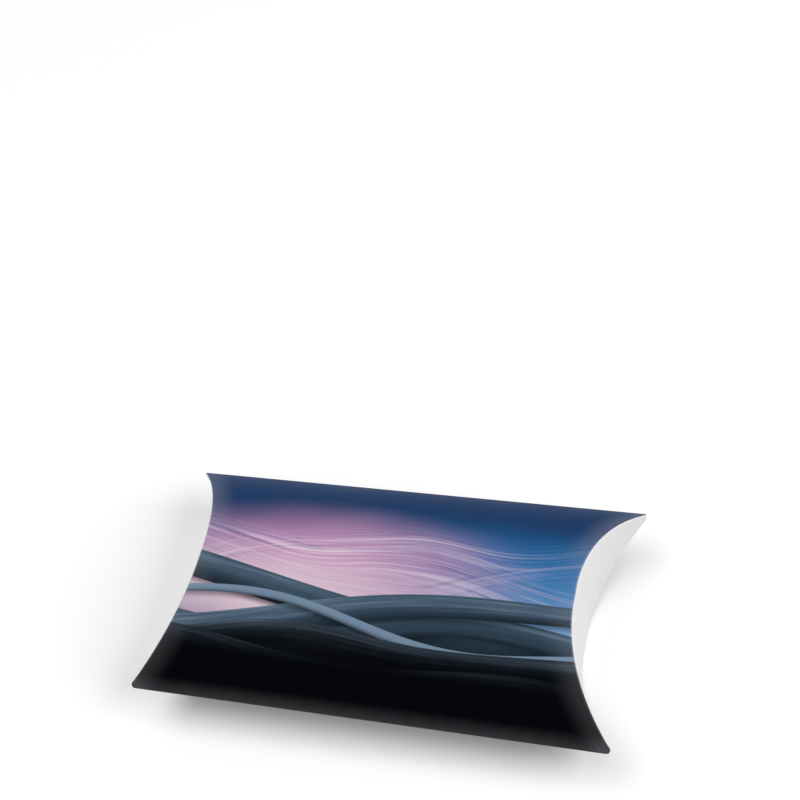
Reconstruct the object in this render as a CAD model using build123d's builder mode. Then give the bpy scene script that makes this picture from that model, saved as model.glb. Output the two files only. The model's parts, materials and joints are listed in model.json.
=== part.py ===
"""Pillow box: a sleeve of two bowed panels, with two curved flaps closing each end."""

import os
from math import acos, degrees

from build123d import *

# Driving sizes, in millimetres
box_length = 150.0  # from corner to corner along the long creases
box_width = 80.0  # between the two long creases
box_depth = 32.0  # from crown to crown
crown_flat = 5.0  # width of the flat strip along the middle of each panel
board = 0.45  # thickness of the folding board
running_gap = 0.3  # air between a flap and the board behind it
flap_trim = 0.2  # a flap's edges stop this far inside the sleeve's outer face
inner_flap_reach_share = 0.47  # height of an inner flap's free edge, as a share of the box's depth
glue_flap_width = 9.0  # seen from above
glue_flap_setback = 4.0  # along the long crease, from the sleeve's corner to the glue flap
glue_film = 0.1  # thickness of the adhesive
glue_margin = 1.5  # bare board left round the adhesive

# Sizes that follow from them
half_length = box_length / 2
half_width = box_width / 2
half_depth = box_depth / 2
half_flat = crown_flat / 2
bow_run = half_width - half_flat
bow_radius = (bow_run**2 + half_depth**2) / (2 * half_depth)
layer = board + running_gap  # from one board's outer face to the next behind it

# Each panel's cross section lies on one of these planes, bowing away from the middle of the box
front_section = Plane(origin=(-half_length, 0, half_depth), x_dir=(0, 1, 0), z_dir=(1, 0, 0))
back_section = Plane(origin=(-half_length, 0, half_depth), x_dir=(0, -1, 0), z_dir=(1, 0, 0))

# Each mouth is seen from above on one of these planes, bowing into the box
mouths = {
    "right": Plane(origin=(half_length, 0, 0), x_dir=(0, 1, 0), z_dir=(0, 0, 1)),
    "left": Plane(origin=(-half_length, 0, 0), x_dir=(0, -1, 0), z_dir=(0, 0, 1)),
}


def bow(level):
    """The curve of a panel from one long crease to the other, moved out by a level.

    An arc rises from the chord to the flat strip, and its mirror image comes down again. The end
    creases have the same curve seen from above, because each lies in a plane leaning at 45 degrees.
    """
    radius = bow_radius + level
    sweep = degrees(acos((bow_radius - half_depth) / radius))
    with BuildLine() as curve:
        CenterArc((half_flat, half_depth - bow_radius), radius, 90 - sweep, sweep)
        Line((half_flat, half_depth + level), (-half_flat, half_depth + level))
        CenterArc((-half_flat, half_depth - bow_radius), radius, 90, sweep)
    return curve.wire()


def bow_area(level):
    """The area between the chord and the bow at a level."""
    curve = bow(level)
    with BuildSketch() as area:
        with BuildLine():
            add(curve)
            Line(curve @ 0, curve @ 1)
        make_face()
    return area.sketch


def bowed_board(inner_level, outer_level):
    """The section of a board between two levels of the bow."""
    with BuildSketch() as section:
        add(bow_area(outer_level))
        add(bow_area(inner_level), mode=Mode.SUBTRACT)
    return section.sketch


def sleeve_area(level):
    """The whole cross section of the sleeve, its outline moved out by a level."""
    with BuildSketch() as area:
        add(bow_area(level))
        mirror(about=Plane.XZ)
    return area.sketch


def seam_area(margin):
    """The glue flap seen from above, its outline moved in by a margin: a strip with slanted ends."""
    crease_reach = half_length - glue_flap_setback
    with BuildSketch() as area:
        with BuildLine():
            Polyline(
                (-crease_reach, half_width),
                (crease_reach, half_width),
                (crease_reach - glue_flap_width, half_width - glue_flap_width),
                (glue_flap_width - crease_reach, half_width - glue_flap_width),
                close=True,
            )
        make_face()
        if margin > 0:
            offset(amount=-margin, kind=Kind.INTERSECTION)
    return area.sketch


def save(piece, name):
    """Label a finished piece and write it to its own file."""
    piece.label = name
    export_step(piece, f"parts/{name}.step")


os.makedirs("parts", exist_ok=True)

# Front panel: the bowed upper panel, ending in a curve just behind each outer flap
with BuildPart() as front_panel:
    with BuildSketch(front_section):
        add(bowed_board(-board, 0))
    extrude(amount=box_length)
    with BuildSketch(*mouths.values()):
        add(bow_area(layer))
    extrude(amount=box_depth, mode=Mode.SUBTRACT)
save(front_panel.part, "front_panel")

# Back panel: the same panel below, ending one layer further in, just behind each inner flap
with BuildPart() as back_panel:
    with BuildSketch(back_section):
        add(bowed_board(-board, 0))
    extrude(amount=box_length)
    with BuildSketch(*mouths.values()):
        add(bow_area(2 * layer))
    extrude(amount=box_depth, mode=Mode.SUBTRACT)
save(back_panel.part, "back_panel")

# Glue flap: the seam tab under the front panel, along the long crease away from the viewer
with BuildPart() as glue_flap:
    with BuildSketch(front_section):
        add(bowed_board(-board - glue_film - board, -board - glue_film))
    extrude(amount=box_length)
    with BuildSketch(Plane.XY):
        add(seam_area(0))
    extrude(amount=box_depth, mode=Mode.INTERSECT)
save(glue_flap.part, "glue_flap")

# Glue line: the film of adhesive between the glue flap and the front panel
with BuildPart() as glue_line:
    with BuildSketch(front_section):
        add(bowed_board(-board - glue_film, -board))
    extrude(amount=box_length)
    with BuildSketch(Plane.XY):
        add(seam_area(glue_margin))
    extrude(amount=box_depth, mode=Mode.INTERSECT)
save(glue_line.part, "glue_line")

# End flaps: boards standing across each mouth and bowed into the box, cut to the sleeve's outline
flap_kinds = {
    "outer_flap": (0, box_depth),
    "inner_flap": (layer, inner_flap_reach_share * box_depth),
}
for side, mouth in mouths.items():
    for kind, (level, height) in flap_kinds.items():
        with BuildPart() as end_flap:
            with BuildSketch(mouth):
                add(bowed_board(level, level + board))
            extrude(amount=height)
            with BuildSketch(front_section):
                add(sleeve_area(-flap_trim))
            extrude(amount=box_length, mode=Mode.INTERSECT)
        save(end_flap.part, f"{side}_{kind}")
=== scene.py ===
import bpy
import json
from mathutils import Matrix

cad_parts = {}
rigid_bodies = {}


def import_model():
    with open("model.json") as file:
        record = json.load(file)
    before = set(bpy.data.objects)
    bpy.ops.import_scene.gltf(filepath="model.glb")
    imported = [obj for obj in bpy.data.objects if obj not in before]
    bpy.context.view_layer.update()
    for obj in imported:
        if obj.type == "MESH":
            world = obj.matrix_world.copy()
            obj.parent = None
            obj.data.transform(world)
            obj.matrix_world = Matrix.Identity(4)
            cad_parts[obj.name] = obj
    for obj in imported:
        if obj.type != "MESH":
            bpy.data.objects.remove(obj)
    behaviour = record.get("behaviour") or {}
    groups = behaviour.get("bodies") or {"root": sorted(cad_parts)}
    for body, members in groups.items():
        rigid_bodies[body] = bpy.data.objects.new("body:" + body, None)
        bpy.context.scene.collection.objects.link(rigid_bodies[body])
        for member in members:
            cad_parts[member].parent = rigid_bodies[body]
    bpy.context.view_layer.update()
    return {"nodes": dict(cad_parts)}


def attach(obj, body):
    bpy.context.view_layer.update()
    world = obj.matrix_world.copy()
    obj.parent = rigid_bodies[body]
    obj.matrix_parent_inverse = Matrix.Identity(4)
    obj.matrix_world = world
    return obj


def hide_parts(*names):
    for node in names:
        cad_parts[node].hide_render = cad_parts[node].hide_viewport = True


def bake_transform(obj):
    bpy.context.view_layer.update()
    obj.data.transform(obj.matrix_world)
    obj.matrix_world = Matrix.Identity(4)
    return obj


bl_info = {
    "name": "Pillow Box",
    "version": (1, 0, 0),
    "blender": (4, 5, 0),
    "location": "View3D > Sidebar > Pillow Box",
    "description": "Builds a pillow-shaped gift box of printed folding board, with white end flaps",
    "category": "Object",
}

import json
from collections import namedtuple
from math import acos, asin, atan2, cos, pi, radians, sin, sqrt, tan

import bmesh
import bpy
from bpy.props import FloatProperty, FloatVectorProperty, IntProperty, PointerProperty
from bpy.types import Operator, Panel, PropertyGroup
from mathutils import Vector

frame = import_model()

# The box's two ends, and which way each lies along X
SIDES = {"right": 1, "left": -1}

# Its two long creases, by which way each lies along Y
NEAR = -1
FAR = 1

# Modelling tolerances, in metres
SAME_PLACE = 1e-7
CUT_TOLERANCE = 1e-6
MERGE_DISTANCE = 2e-6
ROW_TOLERANCE = 1e-5
CREASE_TOLERANCE = 5e-6
END_SLACK = 0.004

# A face whose normal leans this evenly between along and up still belongs to the panel
EVEN_LEAN = 1e-4

# Cuts that round a tip, by their turn from along the box towards its side
TIP_CUTS = (radians(0), radians(30), radians(60))

SMOOTH_ANGLE = radians(40)
FLAT_MAP = "flat_board"


# Settings that a user would change


def length_setting(name, description, default):
    return FloatProperty(name=name, description=description, default=default, unit="LENGTH", precision=5)


def count_setting(name, description, default, least):
    return IntProperty(name=name, description=description, default=default, min=least)


def colour_setting(name, description, default):
    return FloatVectorProperty(
        name=name, description=description, default=default, subtype="COLOR", size=3, min=0, max=1
    )


class PillowBoxSizes(PropertyGroup):
    """Sizes of the box in metres, and how finely its curves are divided"""

    length: length_setting("Length", "From corner to corner along the long creases", 0.150)
    width: length_setting("Width", "Between the two long creases", 0.080)
    depth: length_setting("Depth", "From crown to crown", 0.032)
    crown_flat: length_setting("Crown flat", "Width of the flat strip along each panel's middle", 0.005)
    board: length_setting("Board", "Thickness of the folding board", 0.00045)
    glue_film: length_setting("Glue film", "Gap that the adhesive fills", 0.0001)
    fold_round: length_setting("Long crease radius", "Outer radius of the folded long creases", 0.0006)
    end_crease_round: length_setting("End crease radius", "Outer radius of the curved end creases", 0.0005)
    corner_round: length_setting("Corner radius", "Radius of the four tips, seen from above", 0.0008)
    seam_fold_round: length_setting("Seam fold radius", "Outer radius beside the glue flap", 0.0005)
    seam_step: length_setting("Seam step", "From the chord up to the front panel's cut edge", 0.0006)
    inner_setback: length_setting("Inner setback", "From the outer end creases to the inner ones", 0.0009)
    flap_gap: length_setting("Flap gap", "From an outer flap's free edge to the back crease's plane", 0.0003)
    inner_flap_height: length_setting("Inner flap height", "Height of an inner flap's free edge", 0.01504)
    glue_flap_width: length_setting("Glue flap width", "Width of the seam tab, seen from above", 0.009)
    glue_flap_setback: length_setting("Glue flap setback", "From the sleeve's corner to the seam tab", 0.004)
    bend_lead: length_setting("Bend lead", "How far above its crease an opening flap starts to bend", 0.004)
    bend_reach: length_setting("Bend reach", "Height over which an opening flap takes up its bend", 0.030)
    tip_reach: length_setting("Tip reach", "From a sharp tip to the last cut across a panel", 0.003)
    arc_steps: count_setting("Arc steps", "Facets in each half of a bow", 36, 8)
    fold_steps: count_setting("Fold steps", "Facets in the round of a long crease", 5, 2)
    crease_steps: count_setting("Crease steps", "Facets in the round of an end crease", 4, 2)
    tab_steps: count_setting("Tab steps", "Facets across the glue flap", 10, 2)
    flap_rows: count_setting("Flap rows", "Rows of facets down a flap", 20, 4)
    panel_columns: count_setting("Panel columns", "Facets along a panel", 15, 3)


class PillowBoxColours(PropertyGroup):
    """Colours of the print, the board and the glue"""

    navy: colour_setting("Navy", "Deep blue of the print's far side", (0.010, 0.042, 0.128))
    azure: colour_setting("Azure", "Bright blue of the print's right side", (0.020, 0.150, 0.375))
    powder: colour_setting("Powder", "Pale blue above the ribbons on the right", (0.215, 0.405, 0.650))
    violet: colour_setting("Violet", "Purple between the blue and the pink", (0.135, 0.100, 0.270))
    orchid: colour_setting("Orchid", "Pink of the print's light area", (0.540, 0.290, 0.480))
    blush: colour_setting("Blush", "Palest pink of the print", (0.740, 0.580, 0.660))
    thread: colour_setting("Thread", "Fine threads in the light area", (0.860, 0.740, 0.850))
    steel: colour_setting("Steel", "Lit edges of the ribbons", (0.170, 0.250, 0.350))
    slate: colour_setting("Slate", "Grey blue of the ribbons", (0.028, 0.058, 0.090))
    ink: colour_setting("Ink", "Near black of the print's near side", (0.0006, 0.0008, 0.0018))
    # Painted sheen: a grey laid over the print along its creases, for the light that the curving satin coat
    # catches there
    crease_sheen: colour_setting("Haze", "Painted sheen: grey laid along a print's creases", (0.070, 0.072, 0.078))
    coated_white: colour_setting("Coated white", "Clay coat of the flaps' outer faces", (0.800, 0.802, 0.806))
    # Painted highlight: a lighter white along the flaps' end creases, where the crease's round catches the
    # light
    crease_highlight: colour_setting("Crease white", "Painted highlight of the clay coat along an end crease", (0.93, 0.93, 0.93))
    board_white: colour_setting("Board white", "Uncoated inside of the board", (0.780, 0.770, 0.745))
    dark_fibre: colour_setting("Dark fibre", "Specks in the uncoated board", (0.42, 0.36, 0.28))
    adhesive: colour_setting("Adhesive", "Dried glue in the seam", (0.640, 0.590, 0.460))
    bubble: colour_setting("Bubble", "Bubbles in the dried glue", (0.85, 0.82, 0.74))


# Curves of the bow, shared by all the sheets


class Bow:
    """A panel's section: a flat crown strip, an arc on each side, and a small round at each long crease.

    The chord runs from one long crease to the other. Each fold is the place of a crease's round, as how far
    its centre lies out and up from the centre of the arc.
    """

    def __init__(self, sizes):
        self.mid = sizes.depth / 2
        self.half_length = sizes.length / 2
        self.half_flat = sizes.crown_flat / 2
        run = sizes.width / 2 - self.half_flat
        self.radius = (run**2 + self.mid**2) / (2 * self.mid)
        self.centre_z = sizes.depth - self.radius
        self.rise = self.mid - self.centre_z
        self.slope = atan2(run, self.rise)

        # Near crease: a round inside the arc that stands upright at the chord
        near_run = sqrt((self.radius - sizes.fold_round) ** 2 - self.rise**2)
        self.near_fold = (near_run, self.rise)
        self.fold_reach = self.half_flat + near_run + sizes.fold_round

        # Seam crease: a round that joins the back panel's arc to the glue flap's, which lies one step inside
        # the front panel's. The centres of those two arcs are twice the chord's rise apart
        self.step = sizes.board + sizes.glue_film
        outer = self.radius - sizes.seam_fold_round
        inner = outer - self.step
        seam_rise = (outer**2 - inner**2) / (4 * self.rise) + self.rise
        seam_run = sqrt(outer**2 - seam_rise**2)
        self.seam_fold = (seam_run, seam_rise)
        self.tab_fold = (seam_run, sqrt(inner**2 - seam_run**2))


# Modelling helpers


def only(piece):
    """Makes one object the selected and active one."""
    bpy.ops.object.select_all(action="DESELECT")
    piece.select_set(True)
    bpy.context.view_layer.objects.active = piece


def edit(piece):
    """Opens one object for editing, with nothing selected."""
    only(piece)
    bpy.ops.object.mode_set(mode="EDIT")
    bpy.ops.mesh.select_mode(type="EDGE")
    bpy.ops.mesh.select_all(action="DESELECT")


def leave_edit():
    bpy.ops.object.mode_set(mode="OBJECT")


def middle(edge):
    return (edge.verts[0].co + edge.verts[1].co) / 2


def pick_edges(piece, test):
    """Selects the edges that pass a test, and no others."""
    bpy.ops.mesh.select_mode(type="EDGE")
    bpy.ops.mesh.select_all(action="DESELECT")
    mesh = bmesh.from_edit_mesh(piece.data)
    for edge in mesh.edges:
        if test(edge):
            edge.select_set(True)
    bmesh.update_edit_mesh(piece.data)


def pick_faces(piece, test):
    """Selects the faces that pass a test, and no others."""
    bpy.ops.mesh.select_mode(type="FACE")
    bpy.ops.mesh.select_all(action="DESELECT")
    mesh = bmesh.from_edit_mesh(piece.data)
    mesh.normal_update()
    for face in mesh.faces:
        if test(face):
            face.select_set(True)
    bmesh.update_edit_mesh(piece.data)


def pick_long_edge(piece, side):
    """Selects the lowest free edge that runs along the box on one side."""

    def is_long(edge):
        start, end = (vertex.co for vertex in edge.verts)
        return edge.is_boundary and abs(start.x - end.x) > SAME_PLACE and middle(edge).y * side > 0

    mesh = bmesh.from_edit_mesh(piece.data)
    lowest = min(middle(edge).z for edge in mesh.edges if is_long(edge))
    pick_edges(piece, lambda edge: is_long(edge) and middle(edge).z < lowest + SAME_PLACE)


def sweep(piece, side, angle, y, z, steps):
    """Spins the long edge on one side outwards and down, round a line along the box."""
    pick_long_edge(piece, side)
    bpy.ops.mesh.spin(steps=steps, angle=angle, center=(0, y * side, z), axis=(side, 0, 0))


def sweep_arc(piece, side, angle, bow, steps):
    """Grows a sheet along the arc of its bow."""
    sweep(piece, side, angle, bow.half_flat, bow.centre_z, steps)


def sweep_fold(piece, side, fold, bow, steps):
    """Grows a sheet round a long crease, from where its arc ends to upright."""
    run, rise = fold
    sweep(piece, side, pi / 2 - atan2(run, rise), bow.half_flat + run, bow.centre_z + rise, steps)


def cut_away(place, outward):
    """Cuts the whole sheet by a plane and clears what lies beyond it."""
    bpy.ops.mesh.select_all(action="SELECT")
    bpy.ops.mesh.bisect(plane_co=place, plane_no=outward, clear_outer=True, threshold=CUT_TOLERANCE)


def divide(direction, places):
    """Divides the faces of the sheet in hand by planes, at places along a direction.

    A cut that comes close to a vertex runs through it, so that no sliver is left beside it.
    """
    for place in places:
        bpy.ops.mesh.select_all(action="SELECT")
        bpy.ops.mesh.bisect(
            plane_co=Vector(direction) * place, plane_no=direction, threshold=ROW_TOLERANCE
        )
    bpy.ops.mesh.select_all(action="SELECT")
    bpy.ops.mesh.remove_doubles(threshold=MERGE_DISTANCE)


def clean_sheet(piece):
    """Merges doubles and turns every face outwards, so that the crown strip faces up."""
    bpy.ops.mesh.select_mode(type="VERT")
    bpy.ops.mesh.select_all(action="SELECT")
    bpy.ops.mesh.remove_doubles(threshold=MERGE_DISTANCE)
    bpy.ops.mesh.dissolve_degenerate(threshold=CUT_TOLERANCE)
    bpy.ops.mesh.select_all(action="SELECT")
    bpy.ops.mesh.normals_make_consistent(inside=False)
    mesh = bmesh.from_edit_mesh(piece.data)
    mesh.normal_update()
    crown = max(mesh.faces, key=lambda face: face.calc_area() * abs(face.normal.z))
    if crown.normal.z < 0:
        bpy.ops.mesh.flip_normals()


def flat_strip(name, length, width, height):
    """The flat strip that a sheet grows from."""
    bpy.ops.object.select_all(action="DESELECT")
    bpy.ops.mesh.primitive_plane_add(size=1, calc_uvs=False, location=(0, 0, height))
    strip = bpy.context.object
    strip.name = name
    strip.data.name = name
    strip.scale = (length, width, 1)
    bpy.ops.object.transform_apply(location=True, rotation=True, scale=True)
    return strip


def cut_ends(sizes, bow, setback):
    """Cuts both curved ends of the sheet in hand, by planes at 45 degrees, and rounds its four tips."""
    crease_x = bow.half_length - setback
    round_y = bow.fold_reach - sizes.corner_round
    inset = sizes.corner_round / cos(bow.slope) + (sizes.width / 2 - round_y) * tan(bow.slope)
    lean = 1 / sqrt(2)
    for end in SIDES.values():
        cut_away((end * crease_x, 0, bow.mid), (end * lean, 0, lean))
        for turn in TIP_CUTS:
            for side in (FAR, NEAR):
                outward = Vector((end * cos(turn), side * sin(turn), 0))
                centre = Vector((end * (crease_x - inset), side * round_y, bow.mid))
                cut_away(centre + outward * sizes.corner_round, outward)


def bow_sheet(name, sizes, bow, setback, seam):
    """A bowed sheet in the front panel's place: crown strip, two arcs, long creases and rounded tips.

    seam says how the far long edge ends: "cut" for the front panel's raw edge, or "fold" for the back
    panel, which turns there into the glue flap.
    """
    sheet = flat_strip(name, sizes.length, sizes.crown_flat, sizes.depth)
    edit(sheet)
    sweep_arc(sheet, NEAR, atan2(*bow.near_fold), bow, sizes.arc_steps)
    sweep_fold(sheet, NEAR, bow.near_fold, bow, sizes.fold_steps)
    if seam == "cut":
        sweep_arc(sheet, FAR, acos((bow.rise + sizes.seam_step) / bow.radius), bow, sizes.arc_steps)
    else:
        sweep_arc(sheet, FAR, atan2(*bow.seam_fold), bow, sizes.arc_steps)
        sweep_fold(sheet, FAR, bow.seam_fold, bow, sizes.fold_steps)
    cut_ends(sizes, bow, setback)
    clean_sheet(sheet)
    leave_edit()
    return sheet


def is_flap(face):
    """True for the faces of an end flap, up to the middle of its crease's round."""
    return abs(face.normal.x) > abs(face.normal.z) + EVEN_LEAN


def split_off(piece, test, name):
    """Parts the faces that pass a test from a sheet and returns them as an object of their own."""
    edit(piece)
    pick_faces(piece, test)
    before = set(bpy.data.objects)
    bpy.ops.mesh.separate(type="SELECTED")
    leave_edit()
    made = [new for new in bpy.data.objects if new not in before]
    if len(made) != 1:
        raise RuntimeError(f"{name}: found no faces to part from {piece.name}")
    made[0].name = name
    made[0].data.name = name
    return made[0]


def hang_flaps(sheet, sizes, bow, setback, kind):
    """Gives a sheet its two end flaps, rounds their creases, and parts them from it.

    Each is extruded down from a curved end as the mirror image of its crease. Returns the flaps by side.
    """
    edit(sheet)
    limit = bow.half_length - bow.mid - END_SLACK

    def is_end(edge):
        start, end = (vertex.co for vertex in edge.verts)
        is_along = abs(start.y - end.y) < SAME_PLACE and abs(start.z - end.z) < SAME_PLACE
        return edge.is_boundary and min(abs(start.x), abs(end.x)) > limit and not is_along

    pick_edges(sheet, is_end)
    bpy.ops.mesh.extrude_region()
    bpy.ops.transform.resize(value=(1, 1, -1), center_override=(0, 0, bow.mid))
    clean_sheet(sheet)

    # Round of the end creases, as far as the round of the tips
    crease_line = bow.half_length - setback + bow.mid

    def is_crease(edge):
        if len(edge.link_faces) != 2:
            return False
        first, second = (is_flap(face) for face in edge.link_faces)
        off_line = max(abs(abs(vertex.co.x) + vertex.co.z - crease_line) for vertex in edge.verts)
        return first != second and off_line < CREASE_TOLERANCE

    pick_edges(sheet, is_crease)
    bpy.ops.mesh.bevel(
        offset=sizes.end_crease_round, segments=sizes.crease_steps, affect="EDGES", clamp_overlap=False
    )
    clean_sheet(sheet)
    leave_edit()
    flaps = {}
    for side, end in SIDES.items():

        def is_own(face):
            return is_flap(face) and face.calc_center_median().x * end > 0

        flaps[side] = split_off(sheet, is_own, f"{side}_{kind}_board")
    return flaps


def trim_flap(flap, sizes, place, outward):
    """Cuts a flap's free edge by a plane, and divides the flap into level rows that can bend."""
    edit(flap)
    cut_away(place, outward)
    row = sizes.depth / sizes.flap_rows

    # The shift keeps the cuts off the corners that the facets already have
    shift = row / 7
    divide((0, 0, 1), [count * row + shift for count in range(1, sizes.flap_rows)])
    leave_edit()


def divide_panel(panel, sizes, setback):
    """Divides a panel's long faces across, and once more close to the tips."""
    edit(panel)
    half = sizes.panel_columns // 2
    column = sizes.length / sizes.panel_columns
    near_tip = sizes.length / 2 - setback - sizes.tip_reach
    divide((1, 0, 0), [-near_tip, *(count * column for count in range(-half, half + 1)), near_tip])
    leave_edit()


def turn_over(piece, bow):
    """Mirrors a sheet from the front panel's place to the back panel's."""
    edit(piece)
    bpy.ops.mesh.select_all(action="SELECT")
    bpy.ops.transform.resize(value=(1, 1, -1), center_override=(0, 0, bow.mid))
    bpy.ops.mesh.flip_normals()
    leave_edit()


def thicken(piece, sizes):
    """Gives a sheet the board's thickness, inwards. Its broad faces lead the shading at the rounds."""
    only(piece)
    wall = piece.modifiers.new("Board", "SOLIDIFY")
    wall.thickness = sizes.board
    wall.offset = -1
    wall.use_quality_normals = True
    wall.material_offset = 1
    wall.material_offset_rim = 1
    bpy.ops.object.modifier_apply(modifier=wall.name)
    bpy.ops.object.shade_smooth_by_angle(angle=SMOOTH_ANGLE)
    even = piece.modifiers.new("Even shading", "WEIGHTED_NORMAL")
    even.keep_sharp = True
    bpy.ops.object.modifier_apply(modifier=even.name)


def finish_piece(piece, body, node):
    """Puts a finished piece in place of its CAD node, and on its body where one body carries all of it."""
    only(piece)
    bpy.ops.object.transform_apply(location=True, rotation=True, scale=True)
    if body:
        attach(piece, body)
    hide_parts(node)


def flatten_map(piece, bow, sizes):
    """A UV map that lays the bowed board out flat: along the box, and along the bow from its crown."""
    layer = piece.data.uv_layers.new(name=FLAT_MAP)
    half_way = bow.half_flat + bow.radius * bow.slope
    for loop in piece.data.loops:
        place = piece.data.vertices[loop.vertex_index].co
        reach = max(abs(place.y) - bow.half_flat, 0)
        arc = min(abs(place.y), bow.half_flat) + bow.radius * asin(min(reach / bow.radius, 1))
        across = arc if place.y > 0 else -arc
        layer.data[loop.index].uv = (place.x / sizes.length, across / (2 * half_way))


def open_with_sleeve(piece):
    """Bakes an opening flap's placement into its mesh.
    """
    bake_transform(piece)


# Material helpers

# The colour sockets of a Mix node, by number, because its other kinds of socket have the same names
MIX_FACTOR = 0
MIX_UNDER = 6
MIX_OVER = 7
MIX_RESULT = 2

# Most of a noise's values lie between these
NOISE_SPAN = (0.3, 0.7)


class Nodes:
    """Short ways to add and join the shader nodes of one material or world."""

    def __init__(self, owner, output_kind="ShaderNodeOutputMaterial"):
        self.owner = owner
        owner.use_nodes = True
        self.tree = owner.node_tree
        self.tree.nodes.clear()
        self.output = self.tree.nodes.new(output_kind)

    def feed(self, socket, value):
        """Links a socket to another node, or sets its own value."""
        if isinstance(value, bpy.types.NodeSocket):
            self.tree.links.new(value, socket)
        elif hasattr(socket.default_value, "__len__") and len(socket.default_value) == 4 and len(value) == 3:
            socket.default_value = (*value, 1)
        else:
            socket.default_value = value

    def add(self, kind, inputs=None, **settings):
        made = self.tree.nodes.new(kind)
        for key, value in settings.items():
            setattr(made, key, value)
        for key, value in (inputs or {}).items():
            self.feed(made.inputs[key], value)
        return made

    def place(self):
        """Where a point of the surface lies in the shared frame, in metres."""
        return self.add("ShaderNodeTexCoord").outputs["Object"]

    def math(self, operation, first, second=0.0):
        return self.add("ShaderNodeMath", {0: first, 1: second}, operation=operation).outputs[0]

    def chain(self, operation, first, others):
        for other in others:
            first = self.math(operation, first, other)
        return first

    def sum(self, first, *others):
        return self.chain("ADD", first, others)

    def times(self, first, *others):
        return self.chain("MULTIPLY", first, others)

    def most(self, first, *others):
        return self.chain("MAXIMUM", first, others)

    def minus(self, first, second):
        return self.math("SUBTRACT", first, second)

    def absolute(self, value):
        return self.math("ABSOLUTE", value)

    def smooth(self, value, low, high, out_low=0.0, out_high=1.0):
        """Eases from one output to the other as the value goes from low to high, or from high to low."""
        made = self.add(
            "ShaderNodeMapRange",
            {"Value": value, "From Min": low, "From Max": high, "To Min": out_low, "To Max": out_high},
            interpolation_type="SMOOTHSTEP",
        )
        return made.outputs["Result"]

    def vary(self, noise, low, high):
        """A value that follows a noise, from low to high."""
        return self.smooth(noise, *NOISE_SPAN, low, high)

    def blend(self, factor, under, over, kind="MIX"):
        inputs = {MIX_FACTOR: factor, MIX_UNDER: under, MIX_OVER: over}
        made = self.add("ShaderNodeMix", inputs, data_type="RGBA", blend_type=kind)
        return made.outputs[MIX_RESULT]

    def grey(self, tone):
        made = self.add("ShaderNodeCombineColor", {"Red": tone, "Green": tone, "Blue": tone})
        return made.outputs["Color"]

    def toned(self, colour, tone):
        """A colour, darkened by a tone below 1."""
        return self.blend(1.0, colour, self.grey(tone), "MULTIPLY")

    def noise(self, vector, scale, detail, roughness, distortion=0.0, output="Fac"):
        inputs = {"Vector": vector, "Scale": scale, "Detail": detail, "Roughness": roughness}
        return self.add("ShaderNodeTexNoise", {**inputs, "Distortion": distortion}).outputs[output]

    def placed(self, vector, rotation=(0, 0, 0), scale=(1, 1, 1)):
        inputs = {"Vector": vector, "Rotation": rotation, "Scale": scale}
        return self.add("ShaderNodeMapping", inputs).outputs["Vector"]

    def bump(self, height, strength, distance, normal=None):
        inputs = {"Height": height, "Strength": strength, "Distance": distance}
        if normal is not None:
            inputs["Normal"] = normal
        return self.add("ShaderNodeBump", inputs).outputs["Normal"]

    def seen(self):
        """1 to the camera and to what mirrors or passes the view, and 0 to the light on the object."""
        path = self.add("ShaderNodeLightPath").outputs
        return self.most(path["Is Camera Ray"], path["Is Glossy Ray"], path["Is Transmission Ray"])

    def shade(self, **inputs):
        """Ends a material with its shader, and returns it."""
        sockets = {key.replace("_", " "): value for key, value in inputs.items()}
        made = self.add("ShaderNodeBsdfPrincipled", sockets)
        self.feed(self.output.inputs["Surface"], made.outputs["BSDF"])
        return self.owner


def crease_distances(nodes, place, sizes):
    """How far a point lies from the end creases and from the long creases, in metres."""
    parts = nodes.add("ShaderNodeSeparateXYZ", {"Vector": place}).outputs
    rise = nodes.absolute(nodes.minus(parts["Z"], sizes.depth / 2))
    along = nodes.minus(sizes.length / 2, nodes.absolute(parts["X"]))
    return nodes.minus(along, rise), rise


# The print's layout, in shares of the flat board: u runs along it and v across it, from -0.5 to 0.5

# A swing is a wave in a line: how far it rises, how many times it turns along the board, and where it starts
Swing = namedtuple("Swing", "rise turns start")

# A patch of soft colour: its middle, and how far it fades out along and across
Bloom = namedtuple("Bloom", "u v along across")
PINK_BLOOM = Bloom(-0.16, 0.03, 0.52, 0.31)
PALE_BLOOM = Bloom(-0.22, -0.12, 0.56, 0.24)

# A sheaf of threads: its middle line's height, lean and swings, how far its threads spread, how many there
# are across the board, how strongly they show, and the part of the noise that they are drawn from
Sheaf = namedtuple("Sheaf", "base lean swings spread count strength pattern")
SHEAVES = (
    Sheaf(0.030, -0.36, (Swing(0.060, 0.85, 0.4), Swing(0.016, 2.2, 1.0)), 0.15, 34.0, 0.95, 1.3),
    Sheaf(0.105, 0.20, (Swing(0.045, 1.25, 2.2), Swing(0.012, 2.9, 0.3)), 0.12, 46.0, 0.60, 7.7),
    Sheaf(0.015, 0.06, (Swing(0.070, 1.05, 4.6), Swing(0.010, 2.4, 2.6)), 0.08, 60.0, 0.55, 12.1),
)

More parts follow.
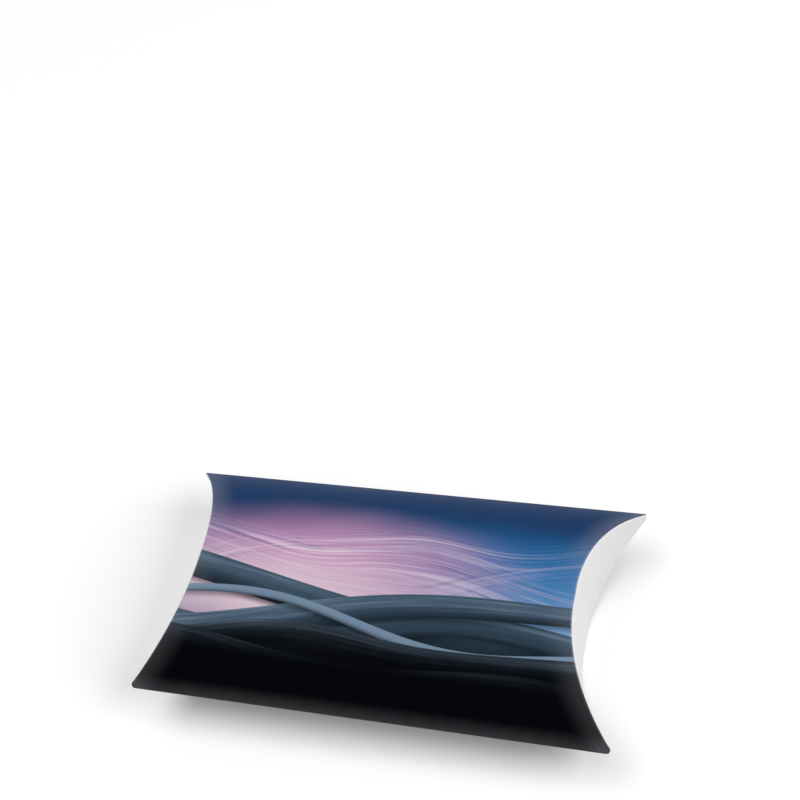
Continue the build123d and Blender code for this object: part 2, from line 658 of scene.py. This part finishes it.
# A ribbon: its top edge's height, lean and swings, its width at the middle of the box and how much wider it
# gets along it, its colour, and how brightly it is lit. The last two run off the print
Ribbon = namedtuple("Ribbon", "base lean swings width taper colour lit")
RIBBONS = (
    Ribbon(-0.075, -0.19, (Swing(0.034, 0.80, 4.4),), 0.100, -0.020, "slate", 0.75),
    Ribbon(-0.165, 0.05, (Swing(0.044, 1.15, 0.2),), 0.075, 0.020, "slate", 0.55),
    Ribbon(-0.110, 0.19, (Swing(0.036, 0.95, 1.1),), 0.095, -0.070, "slate", 1.00),
    Ribbon(-0.170, -0.13, (Swing(0.040, 1.30, 3.4),), 0.034, 0.014, "steel", 0.80),
    Ribbon(-0.228, 0.06, (Swing(0.030, 1.10, 2.6), Swing(0.010, 1.9, 4.0)), 0.50, 0.0, "ink", 0.60),
    Ribbon(-0.300, -0.05, (Swing(0.026, 1.30, 5.2),), 0.50, 0.0, "ink", 0.28),
)

# The softness of a ribbon's edges, how far its hem lies below the top one, how far its glow reaches down
# from there, and how far its shadow reaches beyond the lower one
RIBBON_EDGE = (-0.0006, 0.0012)
RIBBON_HEM = 0.0022
RIBBON_GLOW = 0.075
RIBBON_SHADOW = 0.028

# Where across the board the print starts to turn to plain ink, and where it has turned
INK_FADE = (-0.22, -0.34)

# How far the painted sheen and highlight lines, the worn line and the cracks reach in from a crease, in
# metres: where each begins, and where it is full
END_SHEEN = (0.0095, -0.0010)
END_HIGHLIGHT_LINE = (0.0012, 0.0)
LONG_SHEEN = (0.0040, -0.0010)
WORN_LINE = (0.00060, 0.00035)
END_CRACKS = (0.0009, 0.0)
LONG_CRACKS = (0.0006, 0.0)
FLAP_CREASE_HIGHLIGHT = (0.0010, 0.0002)


class PrintNodes(Nodes):
    """Helpers for the print, with its places u and v, and a slow drift that keeps its colours uneven."""

    def __init__(self, owner):
        super().__init__(owner)
        flat = self.add("ShaderNodeUVMap", uv_map=FLAT_MAP).outputs["UV"]
        parts = self.add("ShaderNodeSeparateXYZ", {"Vector": flat}).outputs
        self.u, self.v = parts["X"], parts["Y"]
        stirred = self.noise(flat, scale=2.1, detail=2.0, roughness=0.5, output="Color")
        drifts = self.add("ShaderNodeSeparateXYZ", {"Vector": stirred}).outputs
        self.drift = self.minus(drifts["Y"], 0.5)
        self.v_soft = self.sum(self.v, self.times(self.minus(drifts["X"], 0.5), 0.16))

    def line(self, base, lean, swings):
        """A smooth line along the print: its height at u."""
        height = self.sum(self.times(self.u, lean), base)
        for swing in swings:
            wave = self.math("SINE", self.sum(self.times(self.u, swing.turns * 2 * pi), swing.start))
            height = self.sum(height, self.times(wave, swing.rise))
        return height

    def combed(self, across, along_scale, across_scale, detail, roughness, pattern):
        """Streaks drawn out along a line: noise that changes fast across it and slowly along it."""
        along = self.times(self.u, along_scale)
        inputs = {"X": along, "Y": self.times(across, across_scale), "Z": pattern}
        vector = self.add("ShaderNodeCombineXYZ", inputs).outputs[0]
        return self.noise(vector, scale=1.0, detail=detail, roughness=roughness)

    def bloom(self, patch):
        """A soft patch of the print: 1 at its middle and 0 at its rim."""
        du = self.math("DIVIDE", self.minus(self.u, patch.u), patch.along)
        dv = self.math("DIVIDE", self.minus(self.v_soft, patch.v), patch.across)
        away = self.math("SQRT", self.sum(self.times(du, du), self.times(dv, dv)))
        return self.smooth(away, 1.0, 0.0)


def colour_field(art, colours):
    """The print's ground: navy far off, violet nearer, blue to pale blue on the right, and pink blooms."""
    field = art.blend(art.smooth(art.v_soft, 0.03, 0.31), colours.violet, colours.navy)
    right = art.smooth(art.sum(art.u, art.times(art.drift, 0.4), art.times(art.v, 0.3)), -0.06, 0.32)
    field = art.blend(right, field, colours.azure)
    low = art.smooth(art.v_soft, 0.08, -0.16, 0.0, 0.75)
    field = art.blend(art.times(right, low), field, colours.powder)
    deep = art.smooth(art.sum(art.v_soft, art.times(art.u, 0.12)), 0.08, 0.36)
    field = art.blend(deep, field, colours.navy)
    field = art.blend(art.bloom(PINK_BLOOM), field, colours.orchid)
    return art.blend(art.bloom(PALE_BLOOM), field, colours.blush)


def lay_threads(art, field, sheaf, colours):
    """Lays a sheaf of fine threads over the print. It is close at the left and fans out to the right."""
    middle_line = art.line(sheaf.base, sheaf.lean, sheaf.swings)
    away = art.minus(art.sum(art.v, art.times(art.drift, 0.11)), middle_line)
    fan = art.sum(art.times(art.u, 0.60), 0.80)
    across = art.math("DIVIDE", away, fan)
    fading = art.smooth(art.u, 0.48, 0.02, 0.10, 1.0)
    cover = art.times(art.smooth(art.absolute(across), sheaf.spread, 0.0), fading)

    thread = art.smooth(art.combed(across, 1.7, sheaf.count, 7.0, 0.66, sheaf.pattern), 0.50, 0.64)
    hair = art.smooth(art.combed(across, 3.4, sheaf.count * 4.5, 3.0, 0.60, sheaf.pattern + 3), 0.50, 0.64)
    pale = art.times(cover, art.sum(art.times(thread, 0.6), art.times(hair, 0.4)))
    field = art.blend(art.times(pale, sheaf.strength), field, colours.thread)

    gap = art.smooth(art.combed(across, 1.4, sheaf.count * 0.8, 6.0, 0.66, sheaf.pattern + 5), 0.46, 0.34)
    return art.blend(art.times(cover, art.times(gap, sheaf.strength * 0.75)), field, colours.violet)


def lay_ribbon(art, field, ribbon, colours, count):
    """Lays a silky ribbon over the print: its shadow first, then its folds, gleam and lit hem."""
    below = art.minus(art.line(ribbon.base, ribbon.lean, ribbon.swings), art.v)
    width = art.sum(art.times(art.u, ribbon.taper), ribbon.width)
    depth = art.math("DIVIDE", below, width)
    under = art.minus(below, width)
    edge = art.smooth(below, *RIBBON_EDGE)
    shadow = art.times(art.smooth(under, RIBBON_SHADOW, 0.0, 0.0, 0.60), edge)
    field = art.blend(shadow, field, colours.ink)

    # Light on the silk: brightest near the top edge, broken up by folds and by fine streaks
    silk = art.smooth(art.combed(below, 1.9, 26.0, 6.0, 0.62, count * 2.7), 0.38, 0.62)
    fold = art.smooth(art.combed(depth, 0.9, 3.1, 2.0, 0.50, count * 1.9 + 4), 0.40, 0.60)
    gleam = art.smooth(art.combed(below, 3.2, 120.0, 3.0, 0.60, count * 2.7 + 1), 0.40, 0.65, 0.65, 1.0)
    near_top = art.smooth(below, RIBBON_GLOW, 0.0, 0.10, 1.0)
    folded = art.smooth(fold, 0.0, 1.0, 0.30, 1.0)
    glow = art.times(near_top, folded, gleam, art.smooth(silk, 0.0, 1.0, 0.35, 1.0))
    hem = art.smooth(art.absolute(art.minus(below, RIBBON_HEM)), 0.0016, 0.0, 0.0, 0.45)

    # The ribbon darkens as it turns under at its lower edge
    turned = art.times(art.smooth(depth, 0.35, 1.05), 0.75)
    tone = art.blend(turned, getattr(colours, ribbon.colour), colours.ink)
    tone = art.blend(art.times(art.most(glow, hem), ribbon.lit), tone, colours.steel)
    inside = art.times(edge, art.smooth(under, -RIBBON_EDGE[0], -RIBBON_EDGE[1]))
    return art.blend(inside, field, tone)


def add_sheen_and_wear(art, place, field, sizes, colours):
    """Adds painted sheen along the creases: a soft grey and a painted highlight line at the end creases. Also
    a worn white line along the end creases, and fine white cracks where the coat has broken.

    Returns the colour, and how near a point is to a crease, from 0 to 1.
    """
    end, rise = crease_distances(art, place, sizes)
    mottle = art.noise(place, scale=260.0, detail=4.0, roughness=0.6)
    near_side = art.smooth(art.v, 0.1, -0.1)
    far_sheen_gain = art.smooth(art.v, 0.0, 0.3, 1.0, 2.5)
    # Painted sheen along the near long crease and the end creases, stronger towards the far side and
    # strongest at the corners, with a painted highlight line right at the end creases
    rim = art.times(art.smooth(rise, *LONG_SHEEN, 0.0, 0.62), near_side)
    ends = art.sum(art.smooth(end, *END_SHEEN, 0.0, 0.46), art.smooth(end, *END_HIGHLIGHT_LINE, 0.0, 0.50))
    corner = art.times(rim, ends, 2.5)
    rim = art.sum(rim, art.times(ends, far_sheen_gain), corner)
    rim = art.times(rim, art.smooth(mottle, 0.2, 0.8, 0.90, 1.10))
    colour = art.blend(rim, field, colours.crease_sheen, "SCREEN")

    worn = art.times(art.smooth(end, *WORN_LINE), 0.16)
    colour = art.blend(worn, colour, colours.board_white)
    near = art.most(art.smooth(end, *END_CRACKS), art.smooth(rise, *LONG_CRACKS))
    cracks = art.smooth(art.noise(place, scale=2600.0, detail=3.0, roughness=0.6), 0.52, 0.66)
    crack = art.times(near, cracks)
    return art.blend(art.times(crack, 0.14), colour, colours.board_white), near


def print_material(name, scene):
    """Satin full-bleed print: a field of drifting colour, fine flowing threads, and dark silky ribbons."""
    sizes, colours = scene.pillow_box_sizes, scene.pillow_box_colours
    art = PrintNodes(bpy.data.materials.new(name))
    field = colour_field(art, colours)
    for sheaf in SHEAVES:
        field = lay_threads(art, field, sheaf, colours)
    for count, ribbon in enumerate(RIBBONS):
        field = lay_ribbon(art, field, ribbon, colours, count)
    field = art.blend(art.smooth(art.v, *INK_FADE), field, colours.ink)
    place = art.place()
    colour, near = add_sheen_and_wear(art, place, field, sizes, colours)

    # Coat: slightly uneven gloss over a trace of the board's fibre
    gloss = art.vary(art.noise(place, scale=90.0, detail=3.0, roughness=0.5), 0.30, 0.36)
    grain = art.placed(place, scale=(1.0, 1.6, 1.0))
    fibre = art.noise(grain, scale=2200.0, detail=4.0, roughness=0.6)
    orange_peel = art.noise(place, scale=420.0, detail=2.0, roughness=0.5)
    return art.shade(
        Base_Color=colour,
        Roughness=art.sum(gloss, art.times(near, 0.18)),
        Normal=art.bump(orange_peel, 0.06, 0.00012, art.bump(fibre, 0.05, 0.00004)),
        Specular_IOR_Level=0.012,
        Coat_Weight=0.010,
        Coat_Roughness=0.18,
    )


def coated_material(name, scene):
    """Clay-coated white board: the flaps' outer faces."""
    sizes, colours = scene.pillow_box_sizes, scene.pillow_box_colours
    nodes = Nodes(bpy.data.materials.new(name))
    place = nodes.place()
    cloud = nodes.noise(place, scale=55.0, detail=4.0, roughness=0.55)
    fine = nodes.noise(place, scale=900.0, detail=5.0, roughness=0.65)
    tone = nodes.times(nodes.vary(cloud, 0.985, 1.0), nodes.smooth(fine, 0.25, 0.75, 0.988, 1.0))
    colour = nodes.toned(colours.coated_white, tone)
    end = crease_distances(nodes, place, sizes)[0]
    # Painted highlight: the coat is lightened along the end crease, where its round catches the light
    colour = nodes.blend(nodes.smooth(end, *FLAP_CREASE_HIGHLIGHT, 0.0, 0.8), colour, colours.crease_highlight)
    flecks = nodes.noise(place, scale=1500.0, detail=2.0, roughness=0.5)
    colour = nodes.blend(nodes.smooth(flecks, 0.70, 0.80, 0.0, 0.10), colour, colours.board_white)
    grain = nodes.placed(place, scale=(1.0, 1.7, 1.0))
    fibre = nodes.noise(grain, scale=1900.0, detail=5.0, roughness=0.62)
    orange_peel = nodes.noise(place, scale=330.0, detail=2.0, roughness=0.5)
    return nodes.shade(
        Base_Color=colour,
        Roughness=nodes.vary(cloud, 0.42, 0.50),
        Normal=nodes.bump(orange_peel, 0.06, 0.0001, nodes.bump(fibre, 0.10, 0.00005)),
        Specular_IOR_Level=0.35,
    )


def inside_material(name, scene):
    """Uncoated board: the inside faces and the cut edges, with visible fibres."""
    colours = scene.pillow_box_colours
    nodes = Nodes(bpy.data.materials.new(name))
    place = nodes.place()
    grain = nodes.placed(place, rotation=(0, 0, radians(7)), scale=(0.35, 1.6, 1.6))
    fibre = nodes.noise(grain, scale=1400.0, detail=5.0, roughness=0.65, distortion=0.8)
    blotch = nodes.noise(place, scale=120.0, detail=4.0, roughness=0.6)
    tone = nodes.times(nodes.smooth(fibre, 0.25, 0.75, 0.93, 1.0), nodes.vary(blotch, 0.965, 1.0))
    colour = nodes.toned(colours.board_white, tone)
    specks = nodes.noise(place, scale=2100.0, detail=2.0, roughness=0.5)
    return nodes.shade(
        Base_Color=nodes.blend(nodes.smooth(specks, 0.72, 0.80, 0.0, 0.35), colour, colours.dark_fibre),
        Roughness=nodes.vary(blotch, 0.74, 0.84),
        Normal=nodes.bump(fibre, 0.22, 0.00006),
        Specular_IOR_Level=0.25,
    )


def glue_material(name, scene):
    """Dried adhesive: a thin, slightly yellow film with small bubbles."""
    colours = scene.pillow_box_colours
    nodes = Nodes(bpy.data.materials.new(name))
    place = nodes.place()
    smear = nodes.placed(place, scale=(0.3, 1.4, 1.4))
    streak = nodes.noise(smear, scale=420.0, detail=4.0, roughness=0.6, distortion=0.5)
    cells = nodes.add("ShaderNodeTexVoronoi", {"Vector": place, "Scale": 1500.0, "Randomness": 1.0})
    dot = nodes.smooth(cells.outputs["Distance"], 0.10, 0.22, 1.0, 0.0)
    colour = nodes.blend(nodes.vary(streak, 0.0, 0.35), colours.adhesive, colours.board_white)
    return nodes.shade(
        Base_Color=nodes.blend(nodes.times(dot, 0.3), colour, colours.bubble),
        Roughness=nodes.vary(streak, 0.26, 0.40),
        Normal=nodes.bump(dot, 0.3, 0.00004),
        Specular_IOR_Level=0.45,
    )


FINISHES = {
    "printed_board_art": print_material,
    "coated_white_board": coated_material,
    "uncoated_board": inside_material,
    "dried_adhesive": glue_material,
}


def board_finish(name, scene):
    """A finish by name, made the first time it is asked for."""
    return bpy.data.materials.get(name) or FINISHES[name](name, scene)


def dress(piece, scene, outer):
    """Gives a sheet its outer face's finish, and bare board inside and on its cut edges."""
    piece.data.materials.clear()
    piece.data.materials.append(board_finish(outer, scene))
    piece.data.materials.append(board_finish("uncoated_board", scene))


def finish_panel(panel, scene, bow, node):
    """Prints, thickens and places a panel of the sleeve."""
    dress(panel, scene, "printed_board_art")
    thicken(panel, scene.pillow_box_sizes)
    flatten_map(panel, bow, scene.pillow_box_sizes)
    finish_piece(panel, "sleeve", node)


def finish_flap(flap, scene, side, kind):
    """Coats, thickens and places an end flap, and bakes its placement into its mesh."""
    sizes = scene.pillow_box_sizes
    dress(flap, scene, "coated_white_board")
    thicken(flap, sizes)
    finish_piece(flap, None, f"{side}_{kind}")
    open_with_sleeve(flap)


# The stage, in metres and watts
STAGE_WHITE = (1, 1, 1)
FLOOR_SIZE = 30
FLOOR_DROP = 0.00002
FLOOR_GREY = (0.72, 0.72, 0.72)
FLOOR_LIFT = (0.11, 1.0)
FLOOR_LIFT_REACH = (0.45, 1.60)
FILL_STRENGTH = 0.31
SHOWN_STRENGTH = 1.0
SoftBox = namedtuple("SoftBox", "name place width height power")
SOFT_BOXES = (
    SoftBox("soft_box_right", (1.15, -0.10, 0.95), 0.9, 0.9, 13.4),
    SoftBox("soft_box_left", (-0.70, 0.10, 1.30), 1.0, 1.0, 8.4),
)

# The camera, fitted to the photograph's outline. Its lens and sensor are in millimetres
CAMERA_PLACE = (0.12502, -0.20449, 0.41173)
CAMERA_TURN = (radians(37.117389), radians(10.408029), radians(13.031148))
CAMERA_LENS = 66.99
CAMERA_SENSOR = 36
CAMERA_CLIP = (0.005, 20)


def lay_floor():
    """A wide floor: white to the camera, and plain pale grey to the light that it passes on."""
    bpy.ops.object.select_all(action="DESELECT")
    bpy.ops.mesh.primitive_plane_add(size=FLOOR_SIZE, location=(0, 0, -FLOOR_DROP))
    floor = bpy.context.object
    floor.name = "floor"
    floor.data.name = "floor"
    bpy.ops.object.transform_apply(location=True, rotation=True, scale=True)

    nodes = Nodes(bpy.data.materials.new("pale_floor"))
    seen = nodes.seen()
    place = nodes.place()
    grain = nodes.vary(nodes.noise(place, scale=6.0, detail=3.0, roughness=0.5), 0.995, 1.0)
    reach = nodes.add("ShaderNodeVectorMath", {0: place}, operation="LENGTH").outputs["Value"]
    pale = nodes.shade(
        Base_Color=nodes.blend(seen, FLOOR_GREY, nodes.grey(grain)),
        Roughness=0.9,
        Specular_IOR_Level=0.0,
        Emission_Color=STAGE_WHITE,
        Emission_Strength=nodes.times(seen, nodes.smooth(reach, *FLOOR_LIFT_REACH, *FLOOR_LIFT)),
    )
    floor.data.materials.append(pale)


def light_world(scene):
    """White to the camera, and an even grey fill to the object."""
    scene.world = bpy.data.worlds.new("studio_fill")
    nodes = Nodes(scene.world, "ShaderNodeOutputWorld")
    fill = nodes.add("ShaderNodeBackground", {"Color": STAGE_WHITE, "Strength": FILL_STRENGTH})
    shown = nodes.add("ShaderNodeBackground", {"Color": STAGE_WHITE, "Strength": SHOWN_STRENGTH})
    inputs = {0: nodes.seen(), 1: fill.outputs[0], 2: shown.outputs[0]}
    pick = nodes.add("ShaderNodeMixShader", inputs)
    nodes.feed(nodes.output.inputs["Surface"], pick.outputs[0])


def hang_soft_boxes(target):
    """Two square soft boxes, one on each side, aimed at the middle of the box."""
    for soft_box in SOFT_BOXES:
        bpy.ops.object.select_all(action="DESELECT")
        bpy.ops.object.light_add(type="AREA", location=soft_box.place)
        lamp = bpy.context.object
        lamp.name = soft_box.name
        lamp.data.name = soft_box.name
        lamp.data.shape = "RECTANGLE"
        lamp.data.size = soft_box.width
        lamp.data.size_y = soft_box.height
        lamp.data.energy = soft_box.power
        aim = target - Vector(soft_box.place)
        lamp.rotation_euler = aim.to_track_quat("-Z", "Y").to_euler()


def place_camera(scene):
    """The camera at the photograph's viewing angle."""
    bpy.ops.object.select_all(action="DESELECT")
    bpy.ops.object.camera_add(location=CAMERA_PLACE, rotation=CAMERA_TURN)
    camera = bpy.context.object
    camera.name = "camera"
    camera.data.lens = CAMERA_LENS
    camera.data.sensor_width = CAMERA_SENSOR
    camera.data.sensor_fit = "HORIZONTAL"
    camera.data.clip_start, camera.data.clip_end = CAMERA_CLIP
    scene.camera = camera


# Operators


class PILLOWBOX_OT_front_sheet(Operator):
    """Models the front panel and the two outer flaps that fold down from its curved ends"""

    bl_idname = "pillowbox.front_sheet"
    bl_label = "Front Panel and Outer Flaps"

    def execute(self, context):
        scene = context.scene
        sizes = scene.pillow_box_sizes
        bow = Bow(sizes)
        panel = bow_sheet("front_panel_board", sizes, bow, 0, "cut")
        flaps = hang_flaps(panel, sizes, bow, 0, "outer_flap")
        divide_panel(panel, sizes, 0)
        finish_panel(panel, scene, bow, "front_panel")
        for side, flap in flaps.items():
            end = SIDES[side]
            trim_flap(flap, sizes, (end * bow.half_length, 0, bow.mid + sizes.flap_gap), (end, 0, -1))
            finish_flap(flap, scene, side, "outer_flap")
        return {"FINISHED"}


class PILLOWBOX_OT_back_sheet(Operator):
    """Models the back panel, the fold of its seam crease and the two inner flaps"""

    bl_idname = "pillowbox.back_sheet"
    bl_label = "Back Panel and Inner Flaps"

    def execute(self, context):
        scene = context.scene
        sizes = scene.pillow_box_sizes
        bow = Bow(sizes)
        setback = sizes.inner_setback

        # Built bowing upwards like the front sheet, then turned over into its place below
        panel = bow_sheet("back_panel_board", sizes, bow, setback, "fold")
        flaps = hang_flaps(panel, sizes, bow, setback, "inner_flap")
        divide_panel(panel, sizes, setback)
        turn_over(panel, bow)
        finish_panel(panel, scene, bow, "back_panel")
        for side, flap in flaps.items():
            trim_flap(flap, sizes, (0, 0, sizes.depth - sizes.inner_flap_height), (0, 0, -1))
            turn_over(flap, bow)
            finish_flap(flap, scene, side, "inner_flap")
        return {"FINISHED"}


class PILLOWBOX_OT_seam(Operator):
    """Models the glue flap that folds up from the back panel, and gives the glue line its finish"""

    bl_idname = "pillowbox.seam"
    bl_label = "Glue Flap and Glue Line"

    def execute(self, context):
        scene = context.scene
        sizes = scene.pillow_box_sizes
        bow = Bow(sizes)
        inner_y = sizes.width / 2 - sizes.glue_flap_width
        half_tab = bow.half_length - sizes.glue_flap_setback
        start = asin((inner_y - bow.half_flat) / (bow.radius - bow.step))
        stop = atan2(*bow.tab_fold)

        # Grown along the bow under the front panel. The arc up to the tab's inner edge is cut away again
        tab = flat_strip("glue_flap_board", 2 * half_tab, sizes.crown_flat, sizes.depth - bow.step)
        edit(tab)
        sweep_arc(tab, FAR, start, bow, 1)
        sweep_arc(tab, FAR, stop - start, bow, sizes.tab_steps)
        sweep_fold(tab, FAR, bow.tab_fold, bow, sizes.fold_steps)
        cut_away((0, inner_y, 0), (0, -1, 0))
        for end in SIDES.values():
            cut_away((end * half_tab, sizes.width / 2, 0), (end, -1, 0))
        clean_sheet(tab)
        leave_edit()
        dress(tab, scene, "coated_white_board")
        thicken(tab, sizes)
        finish_piece(tab, "sleeve", "glue_flap")

        film = frame["nodes"]["glue_line"]
        film.material_slots[0].material = board_finish("dried_adhesive", scene)
        return {"FINISHED"}


class PILLOWBOX_OT_stage(Operator):
    """Sets the pale floor, the soft studio light and the camera at the photograph's viewing angle"""

    bl_idname = "pillowbox.stage"
    bl_label = "Floor, Light and Camera"

    def execute(self, context):
        scene = context.scene
        lay_floor()
        light_world(scene)
        hang_soft_boxes(Vector((0, 0, scene.pillow_box_sizes.depth / 2)))
        place_camera(scene)
        scene.view_settings.view_transform = "Standard"
        return {"FINISHED"}


class PILLOWBOX_PT_sidebar(Panel):
    """Lists the steps that build the box, and its settings"""

    bl_idname = "PILLOWBOX_PT_sidebar"
    bl_label = "Pillow Box"
    bl_space_type = "VIEW_3D"
    bl_region_type = "UI"
    bl_category = "Pillow Box"

    def draw(self, context):
        layout = self.layout
        for operator in STEPS:
            layout.operator(operator.bl_idname)
        for group in (context.scene.pillow_box_sizes, context.scene.pillow_box_colours):
            column = layout.column(align=True)
            for name in group.bl_rna.properties.keys():
                if name not in ("rna_type", "name"):
                    column.prop(group, name)


STEPS = (PILLOWBOX_OT_front_sheet, PILLOWBOX_OT_back_sheet, PILLOWBOX_OT_seam, PILLOWBOX_OT_stage)
CLASSES = (PillowBoxSizes, PillowBoxColours, *STEPS, PILLOWBOX_PT_sidebar)


def register():
    for cls in CLASSES:
        bpy.utils.register_class(cls)
    bpy.types.Scene.pillow_box_sizes = PointerProperty(type=PillowBoxSizes)
    bpy.types.Scene.pillow_box_colours = PointerProperty(type=PillowBoxColours)


def unregister():
    del bpy.types.Scene.pillow_box_colours
    del bpy.types.Scene.pillow_box_sizes
    for cls in reversed(CLASSES):
        bpy.utils.unregister_class(cls)


def main():
    register()
    bpy.ops.pillowbox.front_sheet()
    bpy.ops.pillowbox.back_sheet()
    bpy.ops.pillowbox.seam()
    bpy.ops.pillowbox.stage()


if __name__ == "__main__":
    main()
